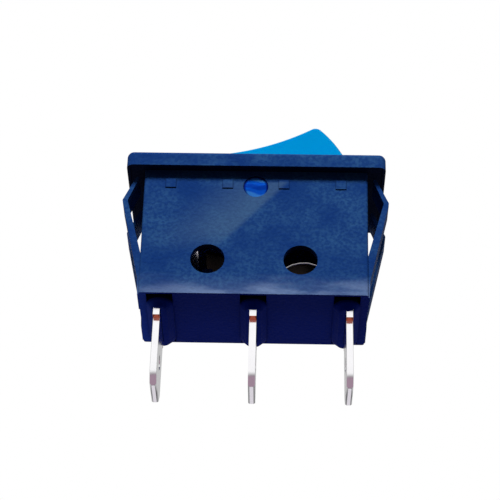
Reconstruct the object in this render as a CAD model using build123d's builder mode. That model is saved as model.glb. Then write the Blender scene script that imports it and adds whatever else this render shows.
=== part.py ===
from build123d import *
import os
from math import cos, radians, sin, sqrt, tan

# Snap-in panel rocker switch with a lit rocker, a see-saw contact and three blade terminals in
# line. All sizes are in millimetres. The origin is the centre of the panel face, on the
# underside of the bezel. +X runs along the switch, +Z points out of the panel, and the
# terminals hang below. The rocker rests with its -X end pressed and its +X end up.

os.makedirs("parts", exist_ok=True)

# ---------------------------------------------------------------- driving dimensions
# Bezel: the frame that covers the edge of the panel cut-out
bezel_length = 31.0
bezel_width = 14.0
bezel_height = 2.15
bezel_corner = 0.85
bezel_edge_round = 0.7
opening_chamfer = 0.3
seat_relief = 0.15
seat_lip = 0.35

# Body: the hollow box behind the panel, with a little draft on its two end walls
body_length = 26.7
body_end_draft = 0.15
body_width = 11.35
body_depth = 17.1
body_corner = 0.3
side_wall = 0.85
end_wall = 1.05
floor_thickness = 2.4
cavity_corner = 0.5

# Square centring pads that fill the cut-out's width, and the round side ports
pad_size = 1.25
pad_proud = 0.12
pad_middle_drop = 1.75
pad_inner_x = 3.35
pad_end_inset = 3.2
port_radius = 2.0
port_end_inset = 7.95
port_rise = 4.7

# Snap wings: two sprung prongs on each end wall, rooted at the foot of the body
wing_apex_reach = 2.5
wing_apex_drop = 3.95
wing_tip_reach = 1.0
wing_tip_drop = 0.45
wing_root_rise = 2.3
wing_crotch_rise = 5.6
wing_arm_thickness = 0.62
wing_ramp_thickness = 0.34
wing_foot_proud = 0.24
wing_width = 3.3
wing_gap = 3.8
wing_apex_round = 0.35
wing_tip_round = 0.12

# Collars round the three terminals, with bevelled rims and each end standing in a square pocket
terminal_inset = 2.25
collar_shift = 0.3
collar_width = 3.05
collar_drop = 0.98
collar_bevel = 0.65
collar_front_setback = 0.95
collar_back_setback = 0.15
pocket_lip = 0.28
pocket_inner_y = 3.2
pocket_depth = 1.2

# Rocker: a concave paddle with bowed ends
pivot_drop = 2.07
rocker_tilt = 14.0
rocker_side_gap = 0.2
rocker_end_gap = 0.43
rocker_end_radius = 14.5
crown_height = 6.42
crown_radius = 29.4
crown_corner = 0.86
rocker_edge_bevel = 0.3
rocker_shell = 1.1
rocker_side_shell = 0.9
skirt_drop = 1.7
lug_radius = 2.5
trunnion_radius = 1.45
trunnion_gap = 0.05
trunnion_recess = 0.12
trunnion_lead = 0.65

# Plunger, the spring behind it and the guide tube that they run in
plunger_radius = 1.15
plunger_gap = 0.1
plunger_shoulder_drop = 1.6
spigot_radius = 0.55
spigot_length = 0.7
guide_wall = 0.7
guide_end_gap = 1.97
guide_bore_top = 3.4
spring_wire = 0.3
spring_clearance = 0.2
spring_turns = 4

# See-saw contact arm: a strip with a trough in the middle for the plunger
arm_tilt = 7.0
arm_thickness = 0.5
arm_width = 4.4
arm_rise = 2.96
trough_slope = 30.0
trough_half_width = 4.0
arm_end_inset = 2.0
arm_tail_inset = 5.1
arm_contact_inset = 1.1
arm_end_round = 1.0
tip_gap = 0.1
fulcrum_gap = 0.06
arm_stop_gap = 0.2
arm_stop_length = 1.2
arm_stop_width = 3.0

# Silver contacts
contact_head_radius = 1.2
contact_head_height = 0.5
contact_shank_radius = 0.6
contact_shank_gap = 0.02
contact_gap = 0.12
contact_edge_bevel = 0.25

# Blade terminals: a wide root in the collar, a shoulder, and a tongue with a bevelled tip
tab_thickness = 0.8
tab_width = 6.3
tab_root_width = 7.8
tab_slot_gap = 0.04
shoulder_drop = 0.9
tab_length = 9.1
tab_bevel_width = 1.1
tab_bevel_length = 1.4
tab_tip_chamfer = 0.18
tab_hole_radius = 0.9
tab_hole_above_tip = 4.1
stem_width = 4.6
tab_bend_radius = 0.5
ear_height = 1.4
ear_gap = 0.15
lamp_pad_drop = 7.4
pad_margin = 0.8

# Lamp, its series resistor and their leads, laid along the inside of the rocker
lamp_height = 2.9
lamp_start = 3.0
lamp_end_gap = 2.37
lamp_radius = 1.5
lamp_seat_gap = 0.03
lamp_lead_spread = 0.5
lead_radius = 0.2
lead_bend = 0.5
rib_thickness = 0.8
lamp_rib_margin = 1.2
resistor_radius = 0.9
resistor_waist = 0.7
resistor_start = 2.6
resistor_end_gap = 1.2
resistor_bevel = 0.25
return_line_y = 2.6
return_spring_inset = 2.77
return_spring_radius = 0.8
return_spring_turns = 4
return_spring_gap = 0.25

# ---------------------------------------------------------------- derived values
cavity_length = body_length - 2 * end_wall
cavity_width = body_width - 2 * side_wall
cavity_floor = -body_depth + floor_thickness
half_width = body_width / 2
end_slope = body_end_draft / body_depth
body_foot_length = body_length - 2 * body_end_draft
port_x = body_length / 2 - port_end_inset
pad_outer_x = body_length / 2 - pad_end_inset
terminal_pitch = body_length / 2 - terminal_inset
collar_length = body_width - collar_front_setback - collar_back_setback
collar_middle = (collar_front_setback - collar_back_setback) / 2
collar_face = -body_depth - collar_drop

rocker_width = cavity_width - 2 * rocker_side_gap
rocker_reach = cavity_length / 2 - rocker_end_gap
inner_reach = rocker_reach - rocker_shell
end_centre = rocker_end_radius - rocker_reach
inner_half_width = rocker_width / 2 - rocker_side_shell
crown_centre = crown_height + crown_radius
bore_radius = plunger_radius + plunger_gap
guide_radius = bore_radius + guide_wall
lamp_end = inner_reach - lamp_end_gap
return_spring_x = inner_reach - return_spring_inset
resistor_end = return_spring_x - return_spring_radius - resistor_end_gap

arm_drop = body_depth - floor_thickness - arm_rise
arm_end_reach = terminal_pitch - arm_end_inset
arm_tail_reach = terminal_pitch - arm_tail_inset
arm_contact_reach = arm_end_reach - arm_contact_inset
contact_turn = radians(arm_tilt)
rest_turn = radians(rocker_tilt)
shoulder_face = collar_face - shoulder_drop
tip_face = collar_face - tab_length


def end_wall_x(height):
    """Distance of the body's drafted end wall from the middle, at a height below the panel."""
    return body_length / 2 + end_slope * height


def crown_y(x, sink=0.0):
    """Height of the rocker's concave crown above the pivot, or of a surface sunk below it."""
    return crown_centre - sqrt((crown_radius + sink) ** 2 - x**2)


# Planes of the tilted rocker: side view with the pivot as origin, and looking along it
rocker_x = Vector(cos(rest_turn), 0, sin(rest_turn))
rocker_up = Vector(-sin(rest_turn), 0, cos(rest_turn))
pivot = Vector(0, 0, -pivot_drop)
rocker_side = Plane(origin=pivot, x_dir=rocker_x, z_dir=(0, -1, 0))
rocker_front = Plane(origin=pivot, x_dir=(0, 1, 0), z_dir=rocker_x)
rocker_axis = Axis(pivot, rocker_up)


def paddle_outline(foot, sink=0.0):
    """Side view of the rocker, cut off below its pivot, or of a hollow sunk below its skin."""
    with BuildSketch(rocker_side) as outline:
        with Locations((-end_centre, 0)):
            Circle(rocker_end_radius - sink)
        with Locations((end_centre, 0)):
            Circle(rocker_end_radius - sink, mode=Mode.INTERSECT)
        with Locations((0, crown_centre)):
            Circle(crown_radius + sink, mode=Mode.SUBTRACT)
        with Locations((0, -foot)):
            Rectangle(
                2 * rocker_reach,
                rocker_end_radius,
                align=(Align.CENTER, Align.MAX),
                mode=Mode.SUBTRACT,
            )
    return outline.sketch


# Planes of the arm, turned the other way by its own tilt
arm_origin = Vector(0, 0, -arm_drop)
arm_x = Vector(cos(contact_turn), 0, -sin(contact_turn))
arm_up = Vector(sin(contact_turn), 0, cos(contact_turn))
arm_side = Plane(origin=arm_origin, x_dir=arm_x, z_dir=(0, -1, 0))

# Underside of the return lead's end, over the soft spring that stands on the left pad
return_end = pivot + rocker_up * (lamp_height - lead_radius) - rocker_x * return_spring_x
lamp_pad_half = return_line_y + return_spring_radius + lead_radius

# The plunger's tip runs on a circle about the pivot, and the trough follows that path
tip_standoff = plunger_radius + arm_thickness / 2 + tip_gap
pivot_distance = arm_drop - pivot_drop
tip_reach = pivot_distance - tip_standoff
guide_drop = tip_reach - guide_end_gap
tip_x = tip_reach * sin(rest_turn)
tip_y = pivot_distance - tip_reach * cos(rest_turn)
path_x = tip_x * cos(contact_turn) - tip_y * sin(contact_turn)
path_rise = tip_x * sin(contact_turn) + tip_y * cos(contact_turn) - tip_standoff
path_radius = (path_x**2 + path_rise**2) / (2 * path_rise)
trough_radius = path_radius + tip_standoff
trough_edge = trough_radius * sin(radians(trough_slope))
trough_rise = trough_radius * (1 - cos(radians(trough_slope)))
shoulder_y = trough_rise + (trough_half_width - trough_edge) * tan(radians(trough_slope))


def arm_height(x):
    """Height of the arm's wings over its middle, in the arm's own frame."""
    return shoulder_y + (abs(x) - trough_half_width) * tan(contact_turn)


contact_point = arm_origin + arm_x * arm_contact_reach + arm_up * arm_height(arm_contact_reach)
contact_face = contact_point.Z - arm_thickness / 2 - contact_head_height - contact_gap
pad_face = contact_face - contact_head_height

# ---------------------------------------------------------------- housing
with BuildPart() as housing:
    # Box behind the panel, narrower at its foot
    with BuildSketch(Plane.XZ):
        with BuildLine():
            Polyline(
                (-body_length / 2, 0),
                (body_length / 2, 0),
                (body_foot_length / 2, -body_depth),
                (-body_foot_length / 2, -body_depth),
                close=True,
            )
        make_face()
    extrude(amount=half_width, both=True)
    upright = housing.edges().filter_by(Axis.X, reverse=True).filter_by(Axis.Y, reverse=True)
    fillet(upright, body_corner)
    # Bezel with rounded corners and a rolled front edge
    with BuildSketch():
        RectangleRounded(bezel_length, bezel_width, bezel_corner)
    extrude(amount=bezel_height)
    fillet(housing.edges().group_by(Axis.Z)[-1], bezel_edge_round)
    # Shallow relief under the bezel, which leaves a narrow lip round its edge to sit on the panel
    with BuildSketch():
        Rectangle(bezel_length - 2 * seat_lip, bezel_width - 2 * seat_lip)
        Rectangle(body_length, body_width, mode=Mode.SUBTRACT)
    extrude(amount=seat_relief, mode=Mode.SUBTRACT)
    # Centring pads on both long sides
    with BuildSketch(Plane.XZ):
        with Locations(*[(s * x, -pad_middle_drop) for x in (pad_inner_x, pad_outer_x) for s in (-1, 1)]):
            Rectangle(pad_size, pad_size)
    extrude(amount=half_width + pad_proud, both=True)
    # Rocker well and contact chamber
    with BuildSketch(Plane.XY.offset(cavity_floor)):
        RectangleRounded(cavity_length, cavity_width, cavity_corner)
    extrude(amount=bezel_height - cavity_floor, mode=Mode.SUBTRACT)
    chamfer(housing.faces().sort_by(Axis.Z)[-1].inner_wires().edges(), opening_chamfer)
    # Pivot holes and side ports through both long walls
    with BuildSketch(Plane.XZ):
        with Locations((0, -pivot_drop)):
            Circle(trunnion_radius + trunnion_gap)
        with Locations((-port_x, port_rise - body_depth), (port_x, port_rise - body_depth)):
            Circle(port_radius)
    extrude(amount=bezel_width, both=True, mode=Mode.SUBTRACT)
    # Snap wings: each prong leans out to its apex, then ramps back to the panel
    wing_root = wing_root_rise - body_depth
    wing_crotch = wing_crotch_rise - body_depth
    wing_root_x = end_wall_x(wing_root)
    wing_crotch_x = end_wall_x(wing_crotch)
    wing_foot_x = end_wall_x(-body_depth)
    wing_apex_x = body_length / 2 + wing_apex_reach
    wing_tip_x = body_length / 2 + wing_tip_reach
    for side in (1, -1):
        with BuildSketch(Plane.XZ.offset(side * wing_gap / 2)):
            with BuildLine():
                FilletPolyline(
                    (wing_foot_x - end_wall / 2, -body_depth),
                    (wing_foot_x + wing_foot_proud / 2, -body_depth),
                    (wing_root_x + wing_foot_proud, wing_root),
                    (wing_apex_x, -wing_apex_drop),
                    (wing_tip_x, -wing_tip_drop),
                    (wing_tip_x - wing_ramp_thickness, -wing_tip_drop - wing_ramp_thickness / 2),
                    (wing_apex_x - wing_arm_thickness, -wing_apex_drop),
                    (wing_crotch_x, wing_crotch),
                    (wing_crotch_x - end_wall / 2, wing_crotch),
                    radius=[0, 0, 1, wing_apex_round, wing_tip_round, wing_tip_round, wing_tip_round, 0, 0],
                    close=True,
                )
            make_face()
            mirror(about=Plane.YZ)
        extrude(amount=side * wing_width)
    # Square pockets at both ends of each terminal collar, then the rounded collars themselves
    pocket_outer_y = half_width - pocket_lip
    collar_places = [x * (terminal_pitch - collar_shift) for x in (-1, 0, 1)]
    with BuildSketch(Plane.XY.offset(-body_depth)):
        with Locations(*[(x, 0) for x in collar_places]):
            with GridLocations(0, pocket_outer_y + pocket_inner_y, 1, 2):
                Rectangle(collar_width, pocket_outer_y - pocket_inner_y)
    extrude(amount=pocket_depth, mode=Mode.SUBTRACT)
    with BuildSketch(Plane.XY.offset(collar_face)):
        with Locations(*[(x, collar_middle) for x in collar_places]):
            SlotOverall(collar_length, collar_width, rotation=90)
    extrude(amount=collar_drop + pocket_depth)
    chamfer(housing.edges().group_by(Axis.Z)[0], collar_bevel)
    # Slots for the roots of the blades
    with BuildSketch(Plane.XY.offset(collar_face)):
        with Locations(*[(x * terminal_pitch, 0) for x in (-1, 0, 1)]):
            Rectangle(tab_thickness + 2 * tab_slot_gap, tab_root_width + 2 * tab_slot_gap)
    extrude(amount=cavity_floor - collar_face, mode=Mode.SUBTRACT)
    # Post under the arm's tail, which stops it with the switch off
    tail_end = arm_tail_reach * cos(contact_turn) + arm_height(arm_tail_reach) * sin(contact_turn)
    stop_top = -arm_drop + arm_height(arm_tail_reach) * cos(contact_turn)
    stop_top -= arm_tail_reach * sin(contact_turn) + arm_thickness / 2 + arm_stop_gap
    with BuildSketch(Plane.XY.offset(cavity_floor)):
        with Locations((-tail_end + arm_stop_length / 2, 0)):
            Rectangle(arm_stop_length, arm_stop_width)
    extrude(amount=stop_top - cavity_floor)

housing.part.label = "housing"
export_step(housing.part, "parts/housing.step")

# ---------------------------------------------------------------- rocker
with BuildPart() as rocker:
    # Side view: concave crown between bowed ends, with round corners, and a round lug at the pivot
    extrude(paddle_outline(skirt_drop), amount=rocker_width / 2, both=True)
    crown_ends = [
        edge
        for edge in rocker.edges().filter_by(Axis.Y)
        if (edge.center() - pivot).dot(rocker_up) > crown_height
    ]
    fillet(crown_ends, crown_corner)
    with BuildSketch(rocker_side):
        Circle(lug_radius)
    extrude(amount=rocker_width / 2, both=True)
    crown_rim = [
        edge
        for edge in rocker.edges().filter_by(Axis.Y, reverse=True)
        if (edge.center() - pivot).dot(rocker_up) > crown_height / 3
    ]
    chamfer(crown_rim, rocker_edge_bevel)
    # Trunnions that turn in the housing's pivot holes, chamfered below so that they snap in
    trunnion_end = half_width - trunnion_recess
    with BuildSketch(rocker_side):
        Circle(trunnion_radius)
    extrude(amount=trunnion_end, both=True)
    for side in (1, -1):
        with BuildSketch(rocker_front):
            with BuildLine():
                Polyline(
                    (side * trunnion_end, 0),
                    (side * (trunnion_end - trunnion_lead), -trunnion_radius),
                    (side * (trunnion_end + trunnion_lead), -trunnion_radius),
                    close=True,
                )
            make_face()
        extrude(amount=trunnion_radius, both=True, mode=Mode.SUBTRACT)
    # Hollow underside
    hollow = paddle_outline(lug_radius + rocker_shell, rocker_shell)
    extrude(hollow, amount=inner_half_width, both=True, mode=Mode.SUBTRACT)
    # Ribs that hold the lamp and the resistor, each with a half-round seat
    rib_seats = [
        (lamp_start + lamp_rib_margin, 0, lamp_radius),
        (lamp_end - lamp_rib_margin, 0, lamp_radius),
        (-(resistor_start + resistor_end) / 2, return_line_y, resistor_waist),
    ]
    for rib_x, seat_y, seat_radius in rib_seats:
        rib_top = crown_y(rib_x, rocker_shell) + rocker_shell / 2
        with BuildSketch(rocker_front.offset(rib_x)):
            with Locations((0, (lamp_height + rib_top) / 2)):
                Rectangle(2 * inner_half_width, rib_top - lamp_height)
            with Locations((seat_y, lamp_height)):
                Circle(seat_radius + lamp_seat_gap, mode=Mode.SUBTRACT)
        extrude(amount=rib_thickness / 2, both=True)
    # Peg that backs the lamp's return spring
    peg_foot = lamp_height + lead_radius
    peg_top = crown_y(return_spring_x, rocker_shell) + rocker_shell / 2
    with BuildSketch(Plane(pivot + rocker_up * peg_foot, x_dir=rocker_x, z_dir=rocker_up)):
        with Locations((-return_spring_x, return_line_y)):
            Circle(return_spring_radius)
    extrude(amount=peg_top - peg_foot)
    # Guide tube for the plunger, with a slot for the lamp's live lead
    with BuildSketch(Plane(pivot - rocker_up * guide_drop, x_dir=rocker_x, z_dir=rocker_up)):
        Circle(guide_radius)
    extrude(amount=guide_drop + crown_height - rocker_shell / 2)
    with BuildSketch(Plane(pivot - rocker_up * guide_drop, x_dir=rocker_x, z_dir=rocker_up)):
        Circle(bore_radius)
    extrude(amount=guide_drop + guide_bore_top, mode=Mode.SUBTRACT)
    slot_foot = lamp_height - 2 * lead_radius
    with BuildSketch(rocker_front):
        with Locations((-lamp_lead_spread, (slot_foot + guide_bore_top) / 2)):
            Rectangle(4 * lead_radius, guide_bore_top - slot_foot)
    extrude(amount=lamp_start, mode=Mode.SUBTRACT)

rocker.part.label = "rocker"
export_step(rocker.part, "parts/rocker.step")

# ---------------------------------------------------------------- plunger and its spring
spigot_top = spigot_length - plunger_shoulder_drop
with BuildPart() as plunger:
    with BuildSketch(rocker_side):
        with BuildLine():
            Polyline(
                (0, spigot_top),
                (spigot_radius, spigot_top),
                (spigot_radius, -plunger_shoulder_drop),
                (plunger_radius, -plunger_shoulder_drop),
                (plunger_radius, -tip_reach),
            )
            CenterArc((0, -tip_reach), plunger_radius, 0, -90)
            Line((0, -tip_reach - plunger_radius), (0, spigot_top))
        make_face()
    revolve(axis=rocker_axis)

plunger.part.label = "plunger"
export_step(plunger.part, "parts/plunger.step")

# The wire of the springs and of the lamp leads has flat sides, which keeps its long runs light
spring_foot = -plunger_shoulder_drop + spring_wire / 2 + contact_shank_gap
spring_head = lamp_height - lead_radius - spring_wire / 2 - contact_shank_gap
with BuildPart() as plunger_spring:
    with BuildLine() as coil:
        Helix(
            pitch=(spring_head - spring_foot) / spring_turns,
            height=spring_head - spring_foot,
            radius=bore_radius - spring_clearance - spring_wire / 2,
            center=pivot + rocker_up * spring_foot,
            direction=rocker_up,
        )
    with BuildSketch(Plane(coil.line @ 0, z_dir=coil.line % 0)):
        RegularPolygon(spring_wire / 2, 4)
    sweep(is_frenet=True)

plunger_spring.part.label = "plunger_spring"
export_step(plunger_spring.part, "parts/plunger_spring.step")

# ---------------------------------------------------------------- see-saw contact arm
with BuildPart() as contact_arm:
    # Side view of the strip: trough, sloped sides and a wing each way, one long and one short
    with BuildSketch(arm_side) as strip:
        with BuildLine():
            half = arm_thickness / 2
            side_x = half * sin(radians(trough_slope))
            side_y = half * cos(radians(trough_slope))
            wing_x = half * sin(contact_turn)
            wing_y = half * cos(contact_turn)
            bend = radians((trough_slope + arm_tilt) / 2)
            bend_reach = half / cos(radians((trough_slope - arm_tilt) / 2))
            bend_x = bend_reach * sin(bend)
            bend_y = bend_reach * cos(bend)
            tail_y = arm_height(arm_tail_reach)
            end_y = arm_height(arm_end_reach)
            ThreePointArc(
                (-trough_edge + side_x, trough_rise + side_y),
                (0, half),
                (trough_edge - side_x, trough_rise + side_y),
            )
            Polyline(
                (trough_edge - side_x, trough_rise + side_y),
                (trough_half_width - bend_x, shoulder_y + bend_y),
                (arm_end_reach - wing_x, end_y + wing_y),
                (arm_end_reach + wing_x, end_y - wing_y),
                (trough_half_width + bend_x, shoulder_y - bend_y),
                (trough_edge + side_x, trough_rise - side_y),
            )
            ThreePointArc(
                (trough_edge + side_x, trough_rise - side_y),
                (0, -half),
                (-trough_edge - side_x, trough_rise - side_y),
            )
            Polyline(
                (-trough_edge - side_x, trough_rise - side_y),
                (-trough_half_width - bend_x, shoulder_y - bend_y),
                (-arm_tail_reach - wing_x, tail_y - wing_y),
                (-arm_tail_reach + wing_x, tail_y + wing_y),
                (-trough_half_width + bend_x, shoulder_y + bend_y),
                (-trough_edge + side_x, trough_rise + side_y),
            )
        make_face()
    extrude(amount=arm_width / 2, both=True)
    corners = contact_arm.edges().filter_by(lambda e: e.length < arm_thickness * 1.01)
    fillet(corners.filter_by(Axis.Y, reverse=True).group_by(Axis.X)[-1], arm_end_round)
    # Rivet hole for the moving contact
    with BuildSketch(Plane.XY.offset(contact_point.Z)):
        with Locations((contact_point.X, 0)):
            Circle(contact_shank_radius)
    extrude(amount=arm_thickness, both=True, mode=Mode.SUBTRACT)

contact_arm.part.label = "contact_arm"
export_step(contact_arm.part, "parts/contact_arm.step")

# ---------------------------------------------------------------- silver contacts
arm_under = contact_point.Z - arm_thickness / 2
with BuildPart() as moving_contact:
    with BuildSketch(Plane.XY.offset(arm_under - contact_head_height)):
        with Locations((contact_point.X, 0)):
            Circle(contact_head_radius)
    extrude(amount=contact_head_height)
    chamfer(moving_contact.edges().group_by(Axis.Z)[0], contact_edge_bevel)
    with BuildSketch(Plane.XY.offset(arm_under)):
        with Locations((contact_point.X, 0)):
            Circle(contact_shank_radius - contact_shank_gap)
    extrude(amount=arm_thickness)

moving_contact.part.label = "moving_contact"
export_step(moving_contact.part, "parts/moving_contact.step")

with BuildPart() as fixed_contact:
    with BuildSketch(Plane.XY.offset(pad_face)):
        with Locations((contact_point.X, 0)):
            Circle(contact_head_radius)
    extrude(amount=contact_head_height)
    chamfer(fixed_contact.edges().group_by(Axis.Z)[-1], contact_edge_bevel)
    with BuildSketch(Plane.XY.offset(pad_face - tab_thickness)):
        with Locations((contact_point.X, 0)):
            Circle(contact_shank_radius - contact_shank_gap)
    extrude(amount=tab_thickness)

fixed_contact.part.label = "fixed_contact"
export_step(fixed_contact.part, "parts/fixed_contact.step")

# ---------------------------------------------------------------- blade terminals


def blade_face(x, stem_top):
    """Face of a blade below and through the floor, in the plane across the switch at x."""
    with BuildSketch(Plane.YZ.offset(x)) as face:
        with BuildLine():
            Polyline(
                (-tab_width / 2 + tab_bevel_width, tip_face),
                (tab_width / 2 - tab_bevel_width, tip_face),
                (tab_width / 2, tip_face + tab_bevel_length),
                (tab_width / 2, shoulder_face),
                (tab_root_width / 2, shoulder_face),
                (tab_root_width / 2, cavity_floor),
                (stem_width / 2, cavity_floor),
                (stem_width / 2, stem_top),
                (-stem_width / 2, stem_top),
                (-stem_width / 2, cavity_floor),
                (-tab_root_width / 2, cavity_floor),
                (-tab_root_width / 2, shoulder_face),
                (-tab_width / 2, shoulder_face),
                (-tab_width / 2, tip_face + tab_bevel_length),
                close=True,
            )
        make_face()
        with Locations((0, tip_face + tab_hole_above_tip)):
            Circle(tab_hole_radius, mode=Mode.SUBTRACT)
    return face.sketch


def folded_pad(x, pad_top, end):
    """Side view of a pad folded inwards from the top of the stem at x to its end."""
    inward = -1 if x > 0 else 1
    outer = x - inward * tab_thickness / 2
    inner = x + inward * tab_thickness / 2
    with BuildSketch(Plane.XZ) as fold:
        with BuildLine():
            FilletPolyline(
                (outer, pad_top - 3 * tab_thickness),
                (outer, pad_top),
                (end, pad_top),
                (end, pad_top - tab_thickness),
                (inner, pad_top - tab_thickness),
                (inner, pad_top - 3 * tab_thickness),
                radius=[0, tab_bend_radius + tab_thickness, 0, 0, tab_bend_radius, 0],
                close=True,
            )
        make_face()
    return fold.sketch


with BuildPart() as terminal_left:
    stem_top = -lamp_pad_drop - 2 * tab_thickness
    pad_end = return_end.X + return_spring_radius + pad_margin
    extrude(blade_face(-terminal_pitch, stem_top), amount=tab_thickness / 2, both=True)
    chamfer(terminal_left.edges().group_by(Axis.Z)[0].filter_by(Axis.Y), tab_tip_chamfer)
    extrude(folded_pad(-terminal_pitch, -lamp_pad_drop, pad_end), amount=lamp_pad_half, both=True)

terminal_left.part.label = "terminal_left"
export_step(terminal_left.part, "parts/terminal_left.step")

with BuildPart() as terminal_centre:
    fulcrum_top = -arm_drop - arm_thickness / 2 - fulcrum_gap
    extrude(blade_face(0, fulcrum_top - tab_thickness / 2), amount=tab_thickness / 2, both=True)
    chamfer(terminal_centre.edges().group_by(Axis.Z)[0].filter_by(Axis.Y), tab_tip_chamfer)
    # Rounded edge that the arm rocks on
    with BuildSketch(Plane.XZ):
        with Locations((0, fulcrum_top - tab_thickness / 2)):
            Circle(tab_thickness / 2)
    extrude(amount=arm_width / 2 + ear_gap, both=True)
    # Ears that keep the arm on the fulcrum
    ear_inner = arm_width / 2 + ear_gap
    ear_outer = ear_inner + tab_thickness
    with BuildSketch(Plane.YZ):
        for side in (-1, 1):
            with Locations((side * (ear_inner + ear_outer) / 2, 0)):
                with Locations((0, (cavity_floor + fulcrum_top + ear_height) / 2)):
                    Rectangle(ear_outer - ear_inner, fulcrum_top + ear_height - cavity_floor)
    extrude(amount=tab_thickness / 2, both=True)

terminal_centre.part.label = "terminal_centre"
export_step(terminal_centre.part, "parts/terminal_centre.step")

with BuildPart() as terminal_right:
    stem_top = pad_face - 2 * tab_thickness
    pad_end = contact_point.X - contact_head_radius - pad_margin
    extrude(blade_face(terminal_pitch, stem_top), amount=tab_thickness / 2, both=True)
    chamfer(terminal_right.edges().group_by(Axis.Z)[0].filter_by(Axis.Y), tab_tip_chamfer)
    extrude(folded_pad(terminal_pitch, pad_face, pad_end), amount=stem_width / 2, both=True)
    # Rivet hole for the fixed contact
    with BuildSketch(Plane.XY.offset(pad_face)):
        with Locations((contact_point.X, 0)):
            Circle(contact_shank_radius)
    extrude(amount=-tab_thickness, mode=Mode.SUBTRACT)

terminal_right.part.label = "terminal_right"
export_step(terminal_right.part, "parts/terminal_right.step")

# ---------------------------------------------------------------- lamp and its leads
with BuildPart() as lamp_bulb:
    with BuildSketch(rocker_side):
        with BuildLine():
            Line((lamp_start, lamp_height), (lamp_start, lamp_height + lamp_radius))
            Line((lamp_start, lamp_height + lamp_radius), (lamp_end - lamp_radius, lamp_height + lamp_radius))
            CenterArc((lamp_end - lamp_radius, lamp_height), lamp_radius, 90, -90)
            Line((lamp_end, lamp_height), (lamp_start, lamp_height))
        make_face()
    revolve(axis=Axis(pivot + rocker_up * lamp_height, rocker_x))

lamp_bulb.part.label = "lamp_bulb"
export_step(lamp_bulb.part, "parts/lamp_bulb.step")

resistor_line = pivot + Vector(0, return_line_y, 0)
with BuildPart() as lamp_resistor:
    cap_length = (resistor_end - resistor_start) / 4
    with BuildSketch(Plane(resistor_line, x_dir=rocker_x, z_dir=(0, -1, 0))):
        with BuildLine():
            Polyline(
                (-resistor_start, lamp_height + lead_radius),
                (-resistor_start, lamp_height + resistor_radius - resistor_bevel),
                (-resistor_start - resistor_bevel, lamp_height + resistor_radius),
                (-resistor_start - cap_length, lamp_height + resistor_radius),
                (-resistor_start - cap_length, lamp_height + resistor_waist),
                (-resistor_end + cap_length, lamp_height + resistor_waist),
                (-resistor_end + cap_length, lamp_height + resistor_radius),
                (-resistor_end + resistor_bevel, lamp_height + resistor_radius),
                (-resistor_end, lamp_height + resistor_radius - resistor_bevel),
                (-resistor_end, lamp_height + lead_radius),
                close=True,
            )
        make_face()
    revolve(axis=Axis(resistor_line + rocker_up * lamp_height, rocker_x))

lamp_resistor.part.label = "lamp_resistor"
export_step(lamp_resistor.part, "parts/lamp_resistor.step")

# Plan of the leads, seen from the pivot's level: x along the rocker, y across the switch
lead_plan = Plane(pivot + rocker_up * lamp_height, x_dir=rocker_x, z_dir=rocker_up)
with BuildPart() as lamp_lead_live:
    with BuildLine(lead_plan) as live_path:
        Line((lamp_start, -lamp_lead_spread), (-bore_radius / 2, -lamp_lead_spread))
    with BuildSketch(Plane(live_path.line @ 0, z_dir=live_path.line % 0)):
        RegularPolygon(lead_radius, 6)
    sweep()

lamp_lead_live.part.label = "lamp_lead_live"
export_step(lamp_lead_live.part, "parts/lamp_lead_live.step")

with BuildPart() as lamp_lead_return:
    with BuildLine(lead_plan) as return_path:
        FilletPolyline(
            (lamp_start, lamp_lead_spread),
            (guide_radius + 2 * lead_radius, lamp_lead_spread),
            (guide_radius, return_line_y),
            (-return_spring_x - return_spring_radius, return_line_y),
            radius=lead_bend,
        )
    with BuildSketch(Plane(return_path.line @ 0, z_dir=return_path.line % 0)):
        RegularPolygon(lead_radius, 6)
    sweep()

lamp_lead_return.part.label = "lamp_lead_return"
export_step(lamp_lead_return.part, "parts/lamp_lead_return.step")

# Soft spring from the left terminal's pad up to the end of the return lead
return_foot = -lamp_pad_drop + spring_wire / 2 + contact_shank_gap
return_head = return_end.Z - return_spring_gap - spring_wire / 2
with BuildPart() as lamp_spring:
    with BuildLine() as soft_coil:
        Helix(
            pitch=(return_head - return_foot) / return_spring_turns,
            height=return_head - return_foot,
            radius=return_spring_radius - spring_wire / 2,
            center=(return_end.X, return_line_y, return_foot),
        )
    with BuildSketch(Plane(soft_coil.line @ 0, z_dir=soft_coil.line % 0)):
        RegularPolygon(spring_wire / 2, 4)
    sweep(is_frenet=True)

lamp_spring.part.label = "lamp_spring"
export_step(lamp_spring.part, "parts/lamp_spring.step")
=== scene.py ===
"""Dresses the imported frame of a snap-in rocker switch: skins, wires, finishes and a studio."""

import logging
import math
from dataclasses import dataclass
from enum import Enum
from functools import cache
from typing import Any

import bmesh
import bpy
from mathutils import Matrix, Vector


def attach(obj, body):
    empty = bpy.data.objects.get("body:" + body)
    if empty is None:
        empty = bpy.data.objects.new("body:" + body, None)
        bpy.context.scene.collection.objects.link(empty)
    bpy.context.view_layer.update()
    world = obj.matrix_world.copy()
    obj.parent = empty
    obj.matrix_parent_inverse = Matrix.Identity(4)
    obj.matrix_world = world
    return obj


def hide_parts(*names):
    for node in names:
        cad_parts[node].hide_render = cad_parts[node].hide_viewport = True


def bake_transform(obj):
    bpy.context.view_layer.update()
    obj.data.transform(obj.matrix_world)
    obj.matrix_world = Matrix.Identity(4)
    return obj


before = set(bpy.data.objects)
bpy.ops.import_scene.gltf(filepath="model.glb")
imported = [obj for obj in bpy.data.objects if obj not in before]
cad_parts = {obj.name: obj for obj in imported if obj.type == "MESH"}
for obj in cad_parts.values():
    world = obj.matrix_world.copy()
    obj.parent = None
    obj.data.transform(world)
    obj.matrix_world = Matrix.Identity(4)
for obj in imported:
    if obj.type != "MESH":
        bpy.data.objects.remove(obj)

LOG = logging.getLogger("rocker_switch")
MM = 0.001

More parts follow.
